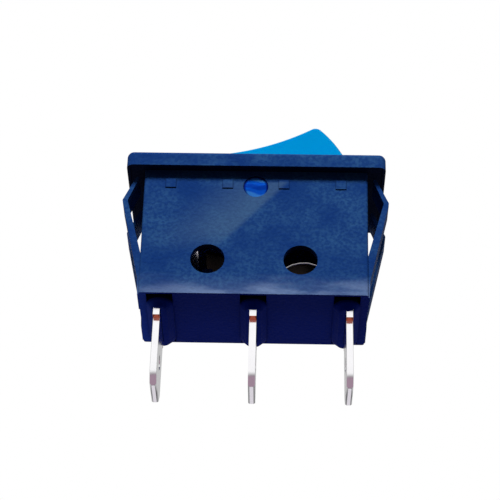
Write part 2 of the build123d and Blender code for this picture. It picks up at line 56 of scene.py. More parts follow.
Socket = bpy.types.NodeSocket
Tree = bpy.types.NodeTree
Node = bpy.types.Node
Object = bpy.types.Object
Material = bpy.types.Material
Point = tuple[float, float, float]

# The kinds of node that come up most
MATH = "ShaderNodeMath"
NOISE = "ShaderNodeTexNoise"
SPLIT = "ShaderNodeSeparateXYZ"
PLACE = "ShaderNodeTexCoord"


class Body(str, Enum):
    """The rigid bodies of the switch."""

    HOUSING = "housing"
    ROCKER = "rocker"
    PLUNGER = "plunger"
    ARM = "arm"


def linear(code: str) -> tuple[float, float, float, float]:
    """Turns an sRGB hex colour into linear values.

    Args:
        code: Six hex digits after a hash sign.

    Returns:
        Red, green, blue and an alpha of 1.
    """
    values = [int(code[i : i + 2], 16) / 255 for i in (1, 3, 5)]
    made = [v / 12.92 if v <= 0.04045 else ((v + 0.055) / 1.055) ** 2.4 for v in values]
    return made[0], made[1], made[2], 1.0


def per_mm(size: float) -> float:
    """Gives the texture scale, on coordinates in metres, of a pattern of so many millimetres."""
    return 1 / (size * MM)


def feed(tree: Tree, node: Node, inputs: dict[Any, Any]) -> None:
    """Sets or links a node's inputs.

    Args:
        tree: The node tree.
        node: The node.
        inputs: Socket name or number to a value, to the output socket that feeds it, or to the
            node whose first output feeds it.
    """
    for name, value in inputs.items():
        if isinstance(value, Node):
            value = next(socket for socket in value.outputs if socket.enabled)
        if isinstance(value, Socket):
            tree.links.new(value, node.inputs[name])
        else:
            node.inputs[name].default_value = value


def add_node(
    tree: Tree, kind: str, inputs: dict[Any, Any] | None = None, **settings: Any
) -> Node:
    """Adds a node with its settings and links.

    Args:
        tree: The node tree.
        kind: The node's type name.
        inputs: The node's inputs, as feed takes them.
        **settings: The node's own properties.

    Returns:
        The new node.
    """
    node = tree.nodes.new(kind)
    for name, value in settings.items():
        setattr(node, name, value)
    feed(tree, node, inputs or {})
    return node


@dataclass(frozen=True)
class Ramp:
    """A smooth run from one value to another while its driver goes from start to end.

    Attributes:
        start: Value of the driver at which the run starts.
        end: Value of the driver at which the run ends.
        low: Result up to the start.
        high: Result past the end.
    """

    start: float
    end: float
    low: float = 0.0
    high: float = 1.0


def mm_ramp(start: float, end: float, low: float = 0.0, high: float = 1.0) -> Ramp:
    """Gives a ramp whose driver is a length, with its start and end in millimetres."""
    return Ramp(start * MM, end * MM, low, high)


def within(tree: Tree, *bounds: tuple[Any, Ramp]) -> Node:
    """Multiplies smooth ramps, each by its own driver.

    Args:
        tree: The node tree.
        *bounds: Each driver with its ramp.

    Returns:
        The product of the ramps.
    """
    edges = [
        add_node(
            tree,
            "ShaderNodeMapRange",
            {"Value": driver, 1: ramp.start, 2: ramp.end, 3: ramp.low, 4: ramp.high},
            interpolation_type="SMOOTHSTEP",
        )
        for driver, ramp in bounds
    ]
    share = edges[0]
    for edge in edges[1:]:
        share = add_node(tree, MATH, {0: share, 1: edge}, operation="MULTIPLY")
    return share


def away(tree: Tree, value: Any, middle: float = 0.0) -> Node:
    """Finds how far a value is from a middle.

    Args:
        tree: The node tree.
        value: The value.
        middle: The middle.

    Returns:
        The distance, always positive.
    """
    if middle:
        value = add_node(tree, MATH, {0: value, 1: middle}, operation="SUBTRACT")
    return add_node(tree, MATH, {0: value}, operation="ABSOLUTE")


def coats(tree: Tree, base: Any, *layers: tuple[Any, Any]) -> Any:
    """Lays colours over a base, one after another.

    Args:
        tree: The node tree.
        base: The first colour: a hex value, or what gives it.
        *layers: Each coat's share, from 0 to 1, and its colour.

    Returns:
        What gives the last colour.
    """
    for share, colour in layers:
        pair = {"A": base, "B": colour}
        known = {name: linear(c) if isinstance(c, str) else c for name, c in pair.items()}
        base = add_node(tree, "ShaderNodeMix", {"Factor": share, **known}, data_type="RGBA")
    return base


@dataclass(frozen=True)
class Finish:
    """A finish with one colour in light and dark patches, and a fine surface texture.

    Attributes:
        name: The material's name.
        light: Colour of the lighter patches.
        dark: Colour of the darker patches.
        roughness: Roughness of the surface.
        metallic: 1 for bare or plated metal.
        specular: Specular level of a plastic or a lacquer.
        patch: Size of the patches in millimetres.
        grain: Size of the surface texture in millimetres.
        depth: Depth of the surface texture in millimetres.
    """

    name: str
    light: str
    dark: str
    roughness: float
    metallic: float = 0.0
    specular: float = 0.5
    patch: float = 4.0
    grain: float = 0.25
    depth: float = 0.001

    def colour(self, tree: Tree, place: Socket) -> Any:
        """Colours the surface: here, in soft patches.

        Args:
            tree: The material's node tree.
            place: Object coordinates.

        Returns:
            What gives the colour.
        """
        cloud = {"Vector": place, "Scale": per_mm(self.patch), "Detail": 3.0}
        return coats(tree, self.dark, (add_node(tree, NOISE, cloud), self.light))

    def settings(self) -> dict[str, Any]:
        """Gives the shader's settings.

        Returns:
            Each setting's name with its value.
        """
        return {
            "Roughness": self.roughness,
            "Metallic": self.metallic,
            "Specular IOR Level": self.specular,
        }

    def material(self) -> Material:
        """Builds the material.

        Returns:
            The material, with its colour, its settings and its texture as a bump.
        """
        material = bpy.data.materials.new(self.name)
        material.use_nodes = True
        tree = material.node_tree
        place = add_node(tree, PLACE).outputs["Object"]
        grit = {"Vector": place, "Scale": per_mm(self.grain), "Detail": 2.0}
        bump = {"Height": add_node(tree, NOISE, grit), "Distance": self.depth * MM}
        given = {
            "Base Color": self.colour(tree, place),
            "Normal": add_node(tree, "ShaderNodeBump", bump),
            **self.settings(),
        }
        feed(tree, tree.nodes["Principled BSDF"], given)
        return material


@dataclass(frozen=True)
class MouldedNylon(Finish):
    """Navy nylon from a spark-eroded mould: cloudy, paler at the foot, with painted sheen and
    painted shade.

    Attributes:
        mottle: Share of the lighter colour, by the cloud pattern.
        speck: Size in millimetres of the fine specks in the darker colour.
        speckle: Share of that colour, by the specks' pattern.
        shaded_base: Painted shade: a deeper copy of the walls' navy on the base and the collars.
        painted_shade: Painted shade: a near-black navy on the bezel's underside, in the pockets
            and round the pads.
        end: Painted light at the base's left end before the slot, where light comes through the
            thin wall behind it.
        end_glow: Share of that painted light, by the place along the switch.
        underside: Share of the base's colours in what faces down, by height: higher up, under the
            bezel, it takes the painted shade.
        downward: Share of the painted shade colours, by how far the surface faces down.
        collars: The same by height: all of the collars, below the foot, takes the painted shade
            colours.
        painted_sheen: Colour of the painted reflection of the key light, in a slanting patch on
            the wall.
        sheen_way: Direction, along and up the wall, in which the painted reflection starts.
        sheen_edge: How it starts, that way.
        sheen_loss: How it fades out from there.
        sheen_foot: How it fades towards the foot, by height.
        sheen_top: How it fades under the bezel, by height.
        haze: Colour of the paler streaks along the foot of the walls.
        streak: Size of the streaks' pattern in millimetres.
        streak_shape: How the pattern is packed in each direction: it is longest along the switch.
        streak_share: Share of the streaks, by their pattern.
        streak_rise: The same by height.
        streak_side: The same by the place along the switch.
        pocket_y: Where the pockets' walls are, by the distance from the middle across.
        pocket_x: The same by the distance from the middle along.
        pocket_z: The same by height.
        pad_x: Distances from the middle of the pads, in millimetres.
        pad_z: Height of the middle of the pads, in millimetres.
        pad_half: Half the side of a pad, in millimetres.
        pad_edge_shade: Strength of the painted shade line round a pad, by the distance from the
            line.
    """

    mottle: Ramp = Ramp(0.3, 0.7, 0.1, 0.9)
    speck: float = 0.4
    speckle: Ramp = Ramp(0.35, 0.65, 0.0, 0.7)
    shaded_base: str = "#031d80"
    painted_shade: str = "#0a1638"
    end: str = "#1a40b4"
    end_glow: Ramp = mm_ramp(-10.0, -13.5, 0.0, 0.8)
    underside: Ramp = mm_ramp(-10.0, -16.0)
    downward: Ramp = Ramp(-0.4, -0.9)
    collars: Ramp = mm_ramp(-17.12, -17.22)
    painted_sheen: str = "#51708f"
    sheen_way: tuple[float, float] = (-0.753, 0.657)
    sheen_edge: Ramp = mm_ramp(-4.15, -3.35)
    sheen_loss: Ramp = mm_ramp(-3.25, 4.25, 0.42, 0.0)
    sheen_foot: Ramp = mm_ramp(-12.0, -7.5)
    sheen_top: Ramp = mm_ramp(-1.2, -1.6)
    haze: str = "#7a90ba"
    streak: float = 2.6
    streak_shape: Point = (0.35, 1.0, 1.3)
    streak_share: Ramp = Ramp(0.40, 0.64, 0.2, 0.85)
    streak_rise: Ramp = mm_ramp(-14.1, -17.1)
    streak_side: Ramp = mm_ramp(-12.5, -2.0, 0.6, 1.0)
    pocket_y: Ramp = mm_ramp(5.6, 5.5)
    pocket_x: Ramp = mm_ramp(13.2, 13.1)
    pocket_z: Ramp = mm_ramp(-14.5, -15.0)
    pad_x: tuple[float, float] = (3.35, 10.15)
    pad_z: float = -1.75
    pad_half: float = 0.625
    pad_edge_shade: Ramp = mm_ramp(0.08, 0.02, 0.0, 0.45)

    def colour(self, tree: Tree, place: Socket) -> Any:
        """Colours the walls with their marks, painted sheen and painted shade, and what faces down
        in painted shade.

        Args:
            tree: The material's node tree.
            place: Object coordinates.

        Returns:
            What gives the colour.
        """
        split = add_node(tree, SPLIT, {"Vector": place})
        cloud, specks = (
            add_node(tree, NOISE, {"Vector": place, "Scale": per_mm(size), "Detail": detail})
            for size, detail in ((self.patch, 4.0), (self.speck, 3.0))
        )
        wall = coats(
            tree,
            self.dark,
            (within(tree, (cloud, self.mottle)), self.light),
            (within(tree, (specks, self.speckle)), self.dark),
            # A painted reflection of the key light, in a slanting patch
            (self.sheen_patch(tree, split), self.painted_sheen),
            (self.scuffs(tree, place, split), self.haze),
            # Painted shade in thin lines round the pads
            (self.pad_shade(tree, split), self.painted_shade),
            # Painted shade on the walls of the pockets
            (self.recess(tree, split), self.painted_shade),
        )
        # Painted light: a brighter blue at the base's left end, where light comes through the thin
        # wall behind it
        glowing_end = within(tree, (split.outputs["X"], self.end_glow))
        base = coats(tree, self.shaded_base, (glowing_end, self.end))
        # Painted shade on what faces down: the shaded base low down, the darker painted shade
        # under the bezel
        low = within(tree, (split.outputs["Z"], self.underside))
        down = coats(tree, self.painted_shade, (low, base))
        facing = add_node(tree, SPLIT, {"Vector": add_node(tree, PLACE).outputs["Normal"]})
        faces_down = within(tree, (facing.outputs["Z"], self.downward))
        # All of the collars, below the foot, take the painted shade colours too
        below = within(tree, (split.outputs["Z"], self.collars))
        shaded = add_node(tree, MATH, {0: faces_down, 1: below}, operation="MAXIMUM")
        return coats(tree, wall, (shaded, down))

    def recess(self, tree: Tree, split: Node) -> Node:
        """Finds the walls of the pockets that run into the foot of the body, which take painted
        shade.

        Args:
            tree: The material's node tree.
            split: Object coordinates, apart.

        Returns:
            1 in the pockets.
        """
        return within(
            tree,
            (away(tree, split.outputs["Y"]), self.pocket_y),
            (away(tree, split.outputs["X"]), self.pocket_x),
            (split.outputs["Z"], self.pocket_z),
        )

    def sheen_patch(self, tree: Tree, split: Node) -> Node:
        """Finds the painted reflection of the key light, sharp where it starts and lost where it
        ends.

        Args:
            tree: The material's node tree.
            split: Object coordinates, apart.

        Returns:
            More where the painted reflection is brighter.
        """
        along, rise = (
            add_node(tree, MATH, {0: split.outputs[axis], 1: share}, operation="MULTIPLY")
            for axis, share in zip("XZ", self.sheen_way)
        )
        far = add_node(tree, MATH, {0: along, 1: rise}, operation="ADD")
        return within(
            tree,
            (far, self.sheen_edge),
            (far, self.sheen_loss),
            (split.outputs["Z"], self.sheen_foot),
            (split.outputs["Z"], self.sheen_top),
        )

    def scuffs(self, tree: Tree, place: Socket, split: Node) -> Node:
        """Finds the paler streaks along the foot.

        Args:
            tree: The material's node tree.
            place: Object coordinates.
            split: The same coordinates, apart.

        Returns:
            More where the wall is paler.
        """
        shaped = add_node(tree, "ShaderNodeMapping", {"Vector": place, "Scale": self.streak_shape})
        streaky = {"Vector": shaped, "Scale": per_mm(self.streak), "Detail": 5.0}
        return within(
            tree,
            (split.outputs["Z"], self.streak_rise),
            (add_node(tree, NOISE, streaky), self.streak_share),
            (split.outputs["X"], self.streak_side),
        )

    def pad_shade(self, tree: Tree, split: Node) -> Node:
        """Draws painted shade in thin lines round the pads.

        Args:
            tree: The material's node tree.
            split: Object coordinates, apart.

        Returns:
            More on the lines.
        """
        along = away(tree, split.outputs["X"])
        inner, outer = (away(tree, along, middle * MM) for middle in self.pad_x)
        beside = add_node(tree, MATH, {0: inner, 1: outer}, operation="MINIMUM")
        rise = away(tree, split.outputs["Z"], self.pad_z * MM)
        reach = add_node(tree, MATH, {0: beside, 1: rise}, operation="MAXIMUM")
        return within(tree, (away(tree, reach, self.pad_half * MM), self.pad_edge_shade))


@dataclass(frozen=True)
class TintedPolycarbonate(Finish):
    """Blue polycarbonate: bright where light comes through the crown; painted shade and highlights
    at the pivots.

    Attributes:
        trunnion_shade: Painted shade on the trunnions, which sit back in the holes.
        trunnion_highlight: Colour of the painted highlights that curl through the trunnions.
        shade: Colour of the painted shade between the painted highlights.
        rim: Colour of the trunnions' rims, which lie in the hole's shade.
        highlight_size: Spacing of the painted highlights in millimetres.
        highlight_curl: How much the painted highlights curl.
        highlight_shift: Where in a trunnion they start.
        highlight_share: Share of the painted highlights' colour, by their pattern.
        between_share: Share of the painted shade between them, by their pattern.
        pivot_y: Distance from the middle where the trunnions leave the rocker, in millimetres.
        pivot_z: Height of the trunnions' axis, in millimetres.
        pivot_radius: Radius of the trunnions, in millimetres.
        rim_shade: Share of the rims' colour, by the distance from the axis.
        glow: Share of the light that spreads inside the plastic.
        glow_reach: How far red, green and blue spread: blue goes furthest.
        glow_depth: Depth of that spread in millimetres.
    """

    trunnion_shade: str = "#0c5bd8"
    trunnion_highlight: str = "#4fa8f6"
    shade: str = "#0636a4"
    rim: str = "#03106c"
    highlight_size: float = 5.0
    highlight_curl: float = 7.0
    highlight_shift: float = 2.8
    highlight_share: Ramp = Ramp(0.7, 1.0, 0.0, 0.6)
    between_share: Ramp = Ramp(0.4, 0.0, 0.0, 0.8)
    pivot_y: float = 4.7
    pivot_z: float = -2.07
    pivot_radius: float = 1.45
    rim_shade: Ramp = mm_ramp(0.78 * pivot_radius, 0.95 * pivot_radius, 0.0, 0.9)
    glow: float = 0.25
    glow_reach: Point = (0.2, 0.7, 1.0)
    glow_depth: float = 1.2

    def settings(self) -> dict[str, Any]:
        """Gives the shader's settings, with the light that spreads inside.

        Returns:
            Each setting's name with its value.
        """
        return super().settings() | {
            "Subsurface Weight": self.glow,
            "Subsurface Radius": self.glow_reach,
            "Subsurface Scale": self.glow_depth * MM,
        }

    def colour(self, tree: Tree, place: Socket) -> Any:
        """Colours the rocker, and its trunnions on their own.

        Args:
            tree: The material's node tree.
            place: Object coordinates.

        Returns:
            What gives the colour.
        """
        split = add_node(tree, SPLIT, {"Vector": place})
        sides = {0: away(tree, split.outputs["Y"]), 1: self.pivot_y * MM}
        past = add_node(tree, MATH, sides, operation="GREATER_THAN")
        return coats(
            tree, super().colour(tree, place), (past, self.trunnion(tree, place, split))
        )

    def trunnion(self, tree: Tree, place: Socket, split: Node) -> Any:
        """Colours the trunnions with painted shade and curling painted highlights.

        Args:
            tree: The material's node tree.
            place: Object coordinates.
            split: The same coordinates, apart.

        Returns:
            What gives the colour.
        """
        wave = {
            "Vector": place,
            "Scale": per_mm(self.highlight_size),
            "Distortion": self.highlight_curl,
            "Detail": 1.5,
            "Detail Scale": 1.1,
            "Phase Offset": self.highlight_shift,
        }
        highlight_bands = add_node(tree, "ShaderNodeTexWave", wave, bands_direction="Z").outputs["Fac"]
        height = {0: split.outputs["Z"], 1: self.pivot_z * MM}
        rise = add_node(tree, MATH, height, operation="SUBTRACT")
        squares = [
            add_node(tree, MATH, {0: side, 1: side}, operation="MULTIPLY")
            for side in (rise, split.outputs["X"])
        ]
        total = add_node(tree, MATH, dict(enumerate(squares)), operation="ADD")
        far = add_node(tree, MATH, {0: total}, operation="SQRT")
        # Painted shade on the trunnions, with painted highlights and painted shade curling through
        # it, and the rims' shade
        return coats(
            tree,
            self.trunnion_shade,
            (within(tree, (highlight_bands, self.between_share)), self.shade),
            (within(tree, (highlight_bands, self.highlight_share)), self.trunnion_highlight),
            (within(tree, (far, self.rim_shade)), self.rim),
        )


@dataclass(frozen=True)
class PlatedBrass(Finish):
    """Stamped brass strip, plated bright, with the red core bare on the shoulders' cut faces.

    Attributes:
        core: Colour of the bare metal.
        shoulder: Height of the shoulders, in millimetres.
        cut: How far from that height the cut faces reach, in millimetres.
        root_y: Distance from the middle past which the shoulder lies, in millimetres.
    """

    core: str = "#f08c62"
    shoulder: float = -18.98
    cut: float = 0.03
    root_y: float = 3.1

    def colour(self, tree: Tree, place: Socket) -> Any:
        """Colours the plating, and the bare metal on the shoulders.

        Args:
            tree: The material's node tree.
            place: Object coordinates.

        Returns:
            What gives the colour.
        """
        split = add_node(tree, SPLIT, {"Vector": place})
        band = {0: split.outputs["Z"], 1: self.shoulder * MM, 2: self.cut * MM}
        sides = {0: away(tree, split.outputs["Y"]), 1: self.root_y * MM}
        near = add_node(tree, MATH, band, operation="COMPARE")
        wide = add_node(tree, MATH, sides, operation="GREATER_THAN")
        bare = add_node(tree, MATH, {0: near, 1: wide}, operation="MULTIPLY")
        return coats(tree, super().colour(tree, place), (bare, self.core))


@dataclass(frozen=True)
class BlownGlass(Finish):
    """Thin glass, blown to the lamp's envelope."""

    def settings(self) -> dict[str, Any]:
        """Gives the shader's settings by name, clear."""
        return super().settings() | {"Transmission Weight": 1.0}


# Spark-eroded nylon scatters light evenly: matt and cloudy, with almost no highlight. The mould's
# pits are a few hundredths of a millimetre wide, and are drawn at 0.4 mm so that they show
NYLON = MouldedNylon(
    "moulded_nylon", "#2f588b", "#133575", 0.55, specular=0.02, patch=4.5, grain=0.4, depth=0.08
)
# Polycarbonate from a polished mould is smooth and glows from inside, with faint highlights. Its
# surface waves are drawn at 0.5 mm, coarser than the polish leaves them, so that they show
POLYCARBONATE = TintedPolycarbonate(
    "tinted_polycarbonate", "#0098dc", "#0092d6", 0.25, specular=0.02, patch=5.0, grain=0.5
)
# Moulded acetal is creamy and slightly waxy. Its grain is drawn at 0.3 mm, coarser than it is,
# so that it shows
ACETAL = Finish(
    "moulded_acetal", "#ece6d6", "#e0d9c8", 0.42, specular=0.4, patch=3.0, grain=0.3, depth=0.002
)
# Bright plating is a mirror that takes its tone from around it. The rolled strip's marks under
# it are a few hundredths of a millimetre apart, and are drawn at 0.12 mm so that they show
PLATED_BRASS = PlatedBrass(
    "plated_brass", "#fefdff", "#f5f4f7", 0.15, metallic=1.0, patch=1.5, grain=0.12
)
# Rolled brass, darkened to a dark brown as painted shade of the closed chamber, still has a dull
# shine.
# The marks of the rolls are drawn at 0.1 mm, coarser than they are, so that they show
ROLLED_BRASS = Finish(
    "rolled_brass", "#3e2b1d", "#302117", 0.42, metallic=1.0, patch=2.0, grain=0.1
)
# Cold-headed silver is pale and satin. The marks of the die are drawn at 0.1 mm, coarser than
# they are, so that they show
HEADED_SILVER = Finish(
    "headed_silver", "#d0d0ce", "#bcbcba", 0.3, metallic=1.0, patch=0.8, grain=0.1
)
# Drawn steel has a narrow grey shine along each turn. The die's marks are drawn at 0.08 mm,
# coarser than they are, so that they show
DRAWN_STEEL = Finish(
    "drawn_steel", "#c9c9c6", "#a9a9a6", 0.3, metallic=1.0, patch=0.6, grain=0.08
)
# Dipped tin on copper wire is paler than steel, with a softer shine and 0.08 mm ripples
TINNED_COPPER = Finish(
    "tinned_copper", "#d4d4d1", "#b9b9b6", 0.35, metallic=1.0, patch=0.6, grain=0.08
)
# Dipped lacquer is tan and smooth, a little uneven in thickness, with 0.15 mm ripples
LACQUER = Finish(
    "dipped_lacquer", "#b49468", "#9c7d54", 0.35, patch=1.0, grain=0.15, depth=0.003
)
# Blown glass is clear and colourless, with sharp highlights that waves 0.6 mm long just bend
GLASS = BlownGlass("blown_glass", "#f6f7f6", "#f6f7f6", 0.03, patch=2.0, grain=0.6)


@cache
def material_of(finish: Finish) -> Material:
    """Gives a finish's one material, which all its pieces share."""
    return finish.material()


@dataclass
class Skin:
    """A smooth copy of a CAD node whose outer edges are eased as a mould or a die leaves them.

    Attributes:
        node: The CAD node that the skin stands for.
        body: The body that it rides on.
        slot: The record's material slot; not used.
        ease: Width of the eased edges in millimetres.
        smooth: Angle in degrees under which neighbouring faces shade as one.
        soft_below: Height in millimetres below which bevelled rims shade as rounds, if any.
        weld: Distance in millimetres under which corners are one.
        level: Angle in degrees under which neighbouring triangles are one face.
        ease_margin: Degrees past the smooth angle from which an edge is eased.
        shade_margin: Degrees past the smooth angle from which an eased edge stays sharp.
    """

    node: str
    body: Body
    slot: str
    ease: float
    smooth: float = 32.0
    soft_below: float | None = None
    weld: float = 0.0005
    level: float = 0.3
    ease_margin: float = 8.0
    shade_margin: float = 3.0

    def build(self, material: Material) -> Object:
        """Makes the skin and hides the node.

        Args:
            material: The skin's material.

        Returns:
            The skin.
        """
        skin = bpy.data.objects.new(self.node + "_skin", self.merged())
        bpy.context.scene.collection.objects.link(skin)
        self.round_off(skin)
        skin.data.materials.clear()
        skin.data.materials.append(material)
        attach(skin, self.body.value)
        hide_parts(self.node)
        return skin

    def merged(self) -> bpy.types.Mesh:
        """Joins the node's loose triangles into whole faces.

        Returns:
            A new mesh, smooth up to the skin's angle.
        """
        shape = bmesh.new()
        shape.from_mesh(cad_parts[self.node].data)
        bmesh.ops.remove_doubles(shape, verts=shape.verts, dist=self.weld * MM)
        bmesh.ops.dissolve_limit(
            shape, angle_limit=math.radians(self.level), verts=shape.verts, edges=shape.edges
        )
        mesh = bpy.data.meshes.new(self.node + "_skin")
        shape.to_mesh(mesh)
        shape.free()
        mesh.shade_smooth()
        mesh.set_sharp_from_angle(angle=math.radians(self.smooth))
        if self.soft_below is not None:
            for edge in mesh.edges:
                if all(mesh.vertices[v].co.z < self.soft_below * MM for v in edge.vertices):
                    edge.use_edge_sharp = False
        return mesh

    def round_off(self, skin: Object) -> None:
        """Eases the skin's sharp edges.

        Args:
            skin: The skin.
        """
        bevel = skin.modifiers.new("ease", "BEVEL")
        bevel.width = self.ease * MM
        bevel.segments = 2
        bevel.limit_method = "ANGLE"
        bevel.angle_limit = math.radians(self.smooth + self.ease_margin)
        # An arced corner leaves a false face over the housing's opening
        bevel.miter_outer = "MITER_SHARP"
        self.apply(skin)
        if self.soft_below is None:
            skin.data.set_sharp_from_angle(angle=math.radians(self.smooth + self.shade_margin))
        # Large faces keep their own normal, so that only the narrow rounds shade
        flats = skin.modifiers.new("flats", "WEIGHTED_NORMAL")
        flats.keep_sharp = True
        self.apply(skin)

    def apply(self, skin: Object) -> None:
        """Applies the skin's modifiers to its mesh.

        Args:
            skin: The skin.
        """
        graph = bpy.context.evaluated_depsgraph_get()
        skin.data = bpy.data.meshes.new_from_object(skin.evaluated_get(graph))
        skin.modifiers.clear()


@dataclass(frozen=True)
class Wire:
    """A round wire that Geometry Nodes sweep along a path, in place of a CAD node's faceted one.

    Attributes:
        node: The CAD node that the wire stands for, or its own name where there is none.
        body: The body that it rides on.
        slot: The record's material slot; not used.
        gauge: Radius of the wire, in millimetres.
        sides: Number of sides of its section, which shade as a round.
        crease: Angle in degrees over which an edge is sharp, as at the wire's ends.
    """

    node: str
    body: Body
    slot: str
    gauge: float
    sides: int = 10
    crease: float = 50.0

    def sizes(self) -> dict[str, float]:
        """Gives the node group's sizes by name, in metres."""
        return {"Gauge": self.gauge * MM}

    def base(self) -> bpy.types.Mesh:
        """Gives the mesh that the node group starts from."""
        return bpy.data.meshes.new(self.node + "_base")

    def path(self, tree: Tree, given: Node) -> Node:
        """Draws the wire's path.

        Args:
            tree: The node group.
            given: The group's inputs.

        Returns:
            The node that gives the curve.
        """
        raise NotImplementedError

    def place(self) -> Matrix:
        """Gives the wire's place in the frame."""
        return Matrix.Identity(4)

    def hold(self, wire: Object) -> None:
        """Fastens the wire to its body."""
        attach(wire, self.body.value)

    def group(self) -> tuple[Tree, dict[str, str]]:
        """Makes the node group that sweeps the wire.

        Returns:
            The group, and the identifiers of its named inputs.
        """
        tree = bpy.data.node_groups.new(self.node + "_sweep", "GeometryNodeTree")
        face = tree.interface
        face.new_socket("Geometry", in_out="OUTPUT", socket_type="NodeSocketGeometry")
        face.new_socket("Geometry", in_out="INPUT", socket_type="NodeSocketGeometry")
        kinds = dict.fromkeys(self.sizes(), "NodeSocketFloat") | {"Material": "NodeSocketMaterial"}
        known = {
            name: face.new_socket(name, in_out="INPUT", socket_type=kind).identifier
            for name, kind in kinds.items()
        }
        given = add_node(tree, "NodeGroupInput")
        section = {"Resolution": self.sides, "Radius": given.outputs["Gauge"]}
        ring = add_node(tree, "GeometryNodeCurvePrimitiveCircle", section)
        swept = {"Curve": self.path(tree, given), "Profile Curve": ring, "Fill Caps": True}
        made = add_node(tree, "GeometryNodeCurveToMesh", swept)
        for kind in ("GeometryNodeSetShadeSmooth", "GeometryNodeRealizeInstances"):
            made = add_node(tree, kind, {"Geometry": made})
        clad = {"Geometry": made, "Material": given.outputs["Material"]}
        made = add_node(tree, "GeometryNodeSetMaterial", clad)
        add_node(tree, "NodeGroupOutput", {"Geometry": made})
        return tree, known

    def build(self, material: Material) -> Object:
        """Sweeps the wire, and hides the node that it stands for.

        Args:
            material: The wire's material.

        Returns:
            The wire.
        """
        wire = bpy.data.objects.new(self.node + "_wire", self.base())
        bpy.context.scene.collection.objects.link(wire)
        sweep = wire.modifiers.new("sweep", "NODES")
        sweep.node_group, known = self.group()
        for name, value in self.sizes().items():
            sweep[known[name]] = value
        sweep[known["Material"]] = material
        wire.update_tag()
        graph = bpy.context.evaluated_depsgraph_get()
        mesh = bpy.data.meshes.new_from_object(wire.evaluated_get(graph))
        wire.modifiers.clear()
        mesh.transform(self.place())
        mesh.set_sharp_from_angle(angle=math.radians(self.crease))
        wire.data = mesh
        self.hold(wire)
        if self.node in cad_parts:
            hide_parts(self.node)
        return wire


@dataclass(frozen=True)
class Coil(Wire):
    """A coil spring.

    Attributes:
        foot: Point on the coil's axis level with the start of its wire, in millimetres.
        start: Where the wire starts, in millimetres.
        axis: Direction of the coil's axis.
        height: Height of the wire's own line, in millimetres.
        turns: Number of turns.
        steps: Number of straight steps in a turn.
        head: The body at the coil's other end, if any; such a coil is left in place, fastened to
            neither body.
    """

    foot: Point = (0.0, 0.0, 0.0)
    start: Point = (1.0, 0.0, 0.0)
    axis: Point = (0.0, 0.0, 1.0)
    height: float = 1.0
    turns: float = 4.0
    steps: int = 28
    head: Body | None = None

    def hold(self, wire: Object) -> None:
        """Fastens the coil to its body, or, where it has a head, leaves it in place unfastened.

        Args:
            wire: The coil.
        """
        if self.head is None:
            super().hold(wire)
            return
        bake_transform(wire)

    def sizes(self) -> dict[str, float]:
        """Gives the node group's sizes.

        Returns:
            Each size's name with its value, in metres or turns.
        """
        radius = (Vector(self.start) - Vector(self.foot)).length
        return super().sizes() | {
            "Turns": self.turns,
            "Radius": radius * MM,
            "Height": self.height * MM,
        }

    def path(self, tree: Tree, given: Node) -> Node:
        """Winds the coil, right-handed.

        Args:
            tree: The node group.
            given: The group's inputs.

        Returns:
            The node that gives the curve.
        """
        winding = {
            "Resolution": self.steps,
            "Rotations": given.outputs["Turns"],
            "Start Radius": given.outputs["Radius"],
            "End Radius": given.outputs["Radius"],
            "Height": given.outputs["Height"],
            "Reverse": True,
        }
        return add_node(tree, "GeometryNodeCurveSpiral", winding)

    def place(self) -> Matrix:
        """Gives the coil's place in the frame.

        Returns:
            The matrix that stands the coil on its foot, along its axis.
        """
        up = Vector(self.axis).normalized()
        out = (Vector(self.start) - Vector(self.foot)).normalized()
        made = Matrix((out, up.cross(out), up)).transposed().to_4x4()
        made.translation = Vector(self.foot) * MM
        return made


@dataclass(frozen=True)
class Lead(Wire):
    """A bent lead wire.

    Attributes:
        corners: The lead's ends and corners, in millimetres.
        bend: Radius of its bends, in millimetres.
        steps: Number of straight steps in a bend.
    """

    corners: tuple[Point, ...] = ()
    bend: float = 0.0
    steps: int = 8

    def sizes(self) -> dict[str, float]:
        """Gives the node group's sizes by name, in metres."""
        return super().sizes() | {"Bend": self.bend * MM}

    def base(self) -> bpy.types.Mesh:
        """Gives the straight runs between the lead's corners.

        Returns:
            A mesh of edges.
        """
        mesh = super().base()
        points = [Vector(corner) * MM for corner in self.corners]
        mesh.from_pydata(points, [(i, i + 1) for i in range(len(points) - 1)], [])
        return mesh

    def path(self, tree: Tree, given: Node) -> Node:
        """Rounds the lead's corners.

        Args:
            tree: The node group.
            given: The group's inputs.

        Returns:
            The node that gives the curve.
        """
        runs = add_node(tree, "GeometryNodeMeshToCurve", {"Mesh": given.outputs["Geometry"]})
        bends = {"Curve": runs, "Count": self.steps, "Radius": given.outputs["Bend"]}
        return add_node(tree, "GeometryNodeFilletCurve", bends, mode="POLY")


class Assembly:
    """Pieces that go together, each with its finish."""

    def pieces(self) -> list[tuple[Skin | Wire, Finish]]:
        """Gives the pieces with their finishes."""
        raise NotImplementedError

    def build(self) -> None:
        """Builds each piece and reports it."""
        for part, finish in self.pieces():
            piece = part.build(material_of(finish))
            LOG.info("%s on %s: %d faces", piece.name, part.body.value, len(piece.data.polygons))


